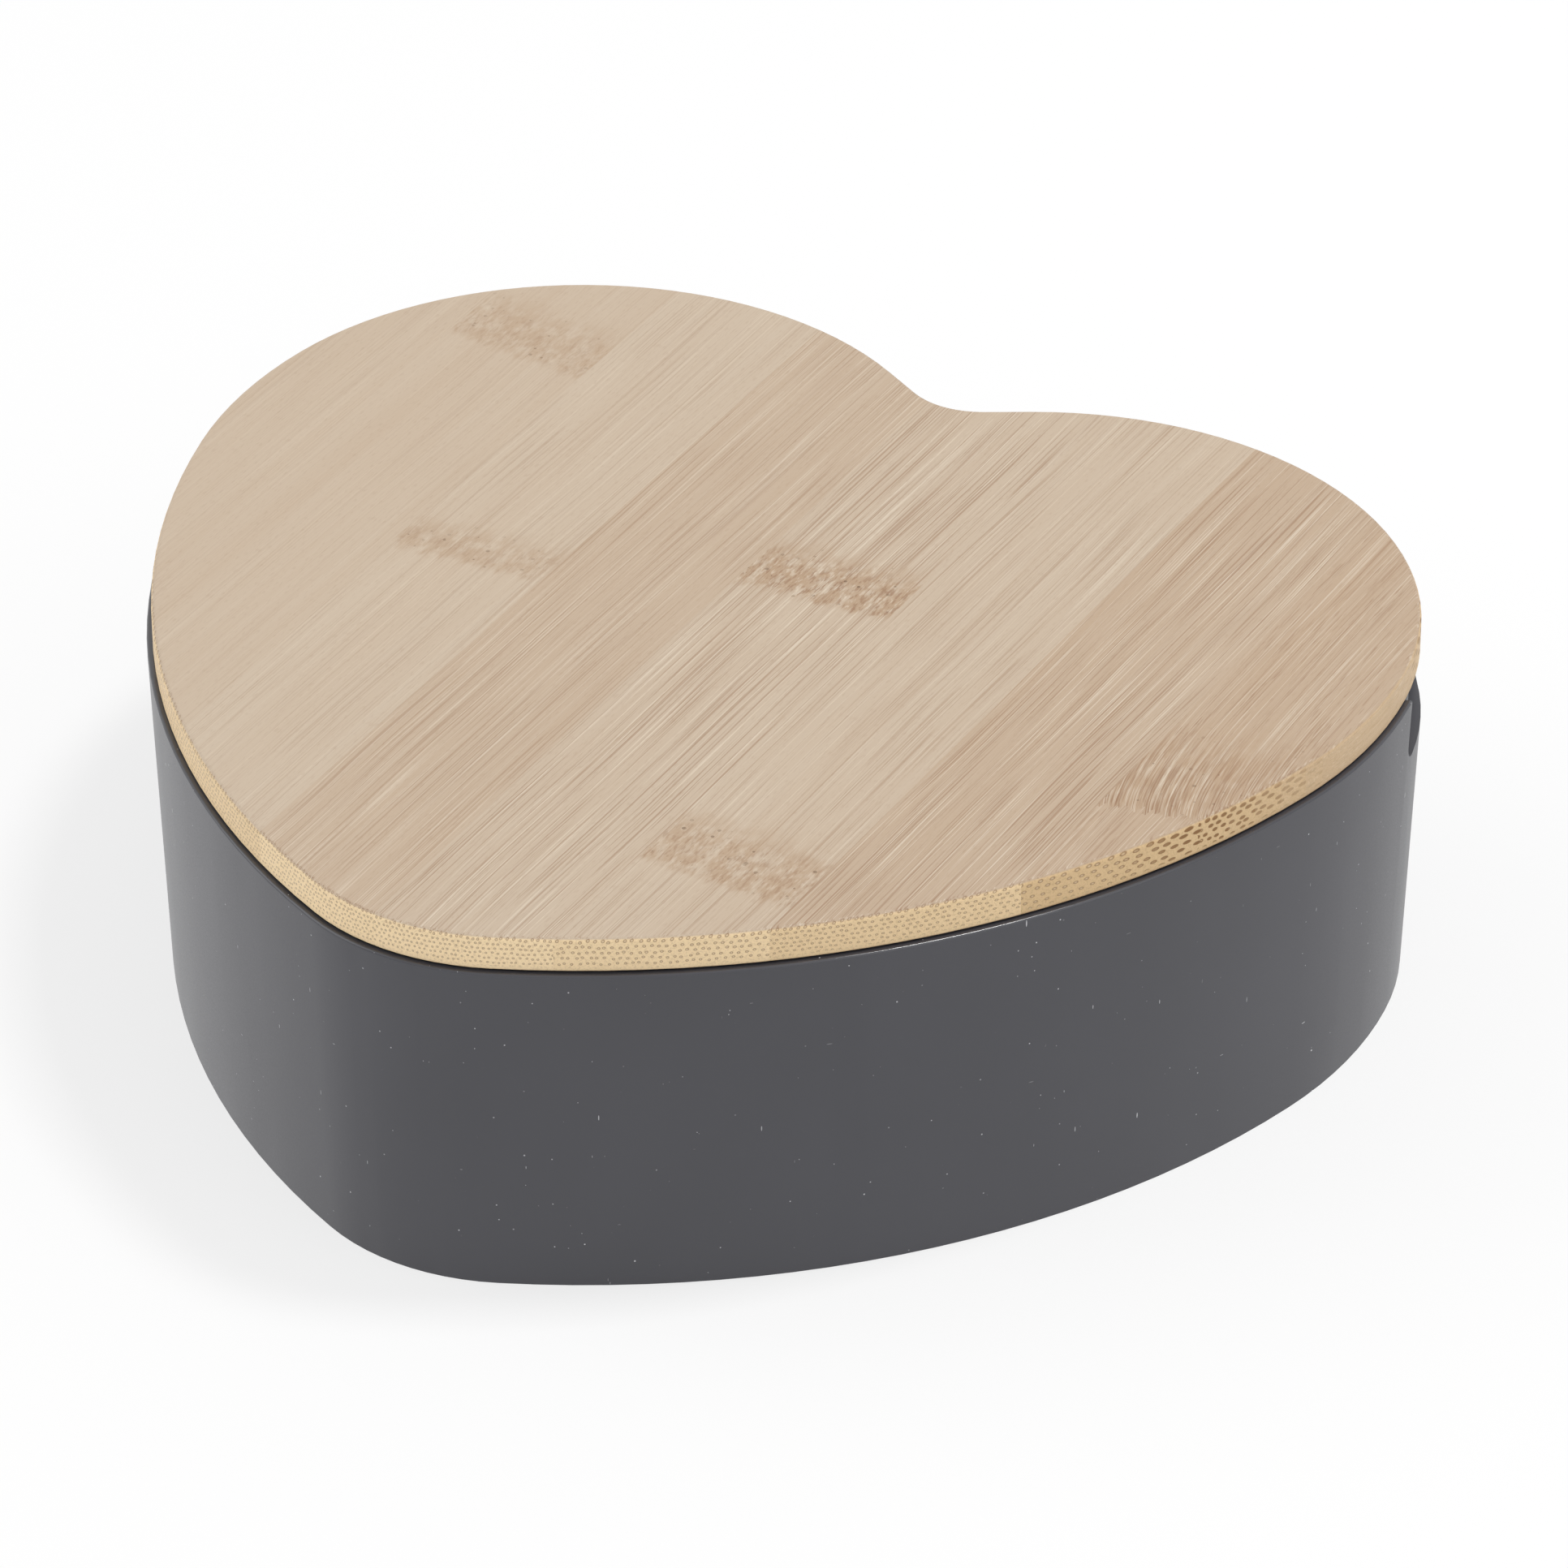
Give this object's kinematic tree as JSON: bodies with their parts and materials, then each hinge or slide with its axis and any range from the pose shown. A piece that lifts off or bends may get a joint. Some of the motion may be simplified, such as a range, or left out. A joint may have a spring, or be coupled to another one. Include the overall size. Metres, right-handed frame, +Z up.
{
  "type": "wind up music box",
  "caption": "Heart shaped music box with a drafted plastic shell, a lift-off bamboo lid, a lined tray and a key wound movement under it.",
  "frame": {"origin": "on the table, under the middle of the rim's box", "axes": "+Z up, +Y towards the cleft of the heart, +X to the right lobe seen from the tip"},
  "size_m": [0.1918, 0.1751, 0.0596],
  "materials": {
    "shell_plastic": "satin moulded, dark grey",
    "tray_plastic": "fine flocked, near black",
    "base_plastic": "moulded, dark grey",
    "bamboo": "sanded bamboo strips, clear matt oil",
    "ring_plastic": "moulded, black",
    "screw_steel": "zinc plated",
    "zinc_casting": "die cast zinc, tumbled",
    "comb_steel": "ground and hardened",
    "brass": "turned",
    "arbor_steel": "turned",
    "spring_steel": "blued",
    "nylon": "moulded, off white",
    "nickel_plate": "nickel plated casting"
  },
  "bodies": {
    "case": {"outer_shell": "shell_plastic", "base_plate": "base_plastic", "base_screws": "screw_steel", "movement_screws": "screw_steel", "liner_tray": "tray_plastic", "bedplate": "zinc_casting", "frame_screws": "screw_steel", "comb": "comb_steel", "comb_screws": "screw_steel", "click": "arbor_steel", "click_pin": "arbor_steel", "click_spring": "spring_steel", "barrel_bridge": "zinc_casting", "end_bracket": "zinc_casting", "governor_frame": "zinc_casting", "stop_bracket": "zinc_casting", "stop_spring": "spring_steel", "stop_bushing": "brass"},
    "lid": {"lid_board": "bamboo", "lid_ring": "ring_plastic", "lid_screws": "screw_steel"},
    "key": {"winding_key": "nickel_plate", "winding_arbor": "arbor_steel", "ratchet_wheel": "arbor_steel"},
    "barrel": {"barrel_drum": "brass", "crown_wheel": "brass", "mainspring": "spring_steel"},
    "cylinder": {"pinned_cylinder": "brass", "cylinder_arbor": "arbor_steel", "cylinder_pinion": "brass", "cylinder_gear": "brass"},
    "governor": {"governor_arbor": "arbor_steel", "governor_pinion": "brass", "worm_wheel": "brass"},
    "fan": {"worm_shaft": "arbor_steel", "air_fan": "nylon"},
    "stop": {"stop_plunger": "arbor_steel", "stop_arm": "arbor_steel"}
  },
  "joints": [
    {"name": "lid_lift", "type": "slide", "parent": "case", "child": "lid", "axis": [0, 0, 1], "range_m": [0, 0.08]},
    {"name": "key_turn", "type": "hinge", "parent": "case", "child": "key", "pos_m": [-0.0538, 0.0306, 0.008], "axis": [0, 0, 1], "range_deg": [0, 2520]},
    {"name": "barrel_spin", "type": "hinge", "parent": "case", "child": "barrel", "pos_m": [-0.0538, 0.0306, 0.025], "axis": [0, 0, 1], "continuous": true},
    {"name": "cylinder_spin", "type": "hinge", "parent": "case", "child": "cylinder", "pos_m": [-0.03, 0.0306, 0.03466], "axis": [1, 0, 0], "continuous": true},
    {"name": "governor_spin", "type": "hinge", "parent": "case", "child": "governor", "pos_m": [-0.018, 0.03969, 0.02941], "axis": [1, 0, 0], "continuous": true},
    {"name": "fan_spin", "type": "hinge", "parent": "case", "child": "fan", "pos_m": [-0.01586, 0.04519, 0.03], "axis": [0, 0, 1], "continuous": true},
    {"name": "stop_rise", "type": "slide", "parent": "case", "child": "stop", "axis": [0, 0, 1], "range_m": [0, 0.0036], "deforming": ["stop_spring"]}
  ],
  "couplings": [
    {"joint": "cylinder_spin", "follows": "barrel_spin", "ratio": 2},
    {"joint": "governor_spin", "follows": "barrel_spin", "ratio": -5},
    {"joint": "fan_spin", "follows": "barrel_spin", "ratio": 80},
    {"joint": "stop_rise", "follows": "lid_lift", "ratio": 0.045}
  ]
}
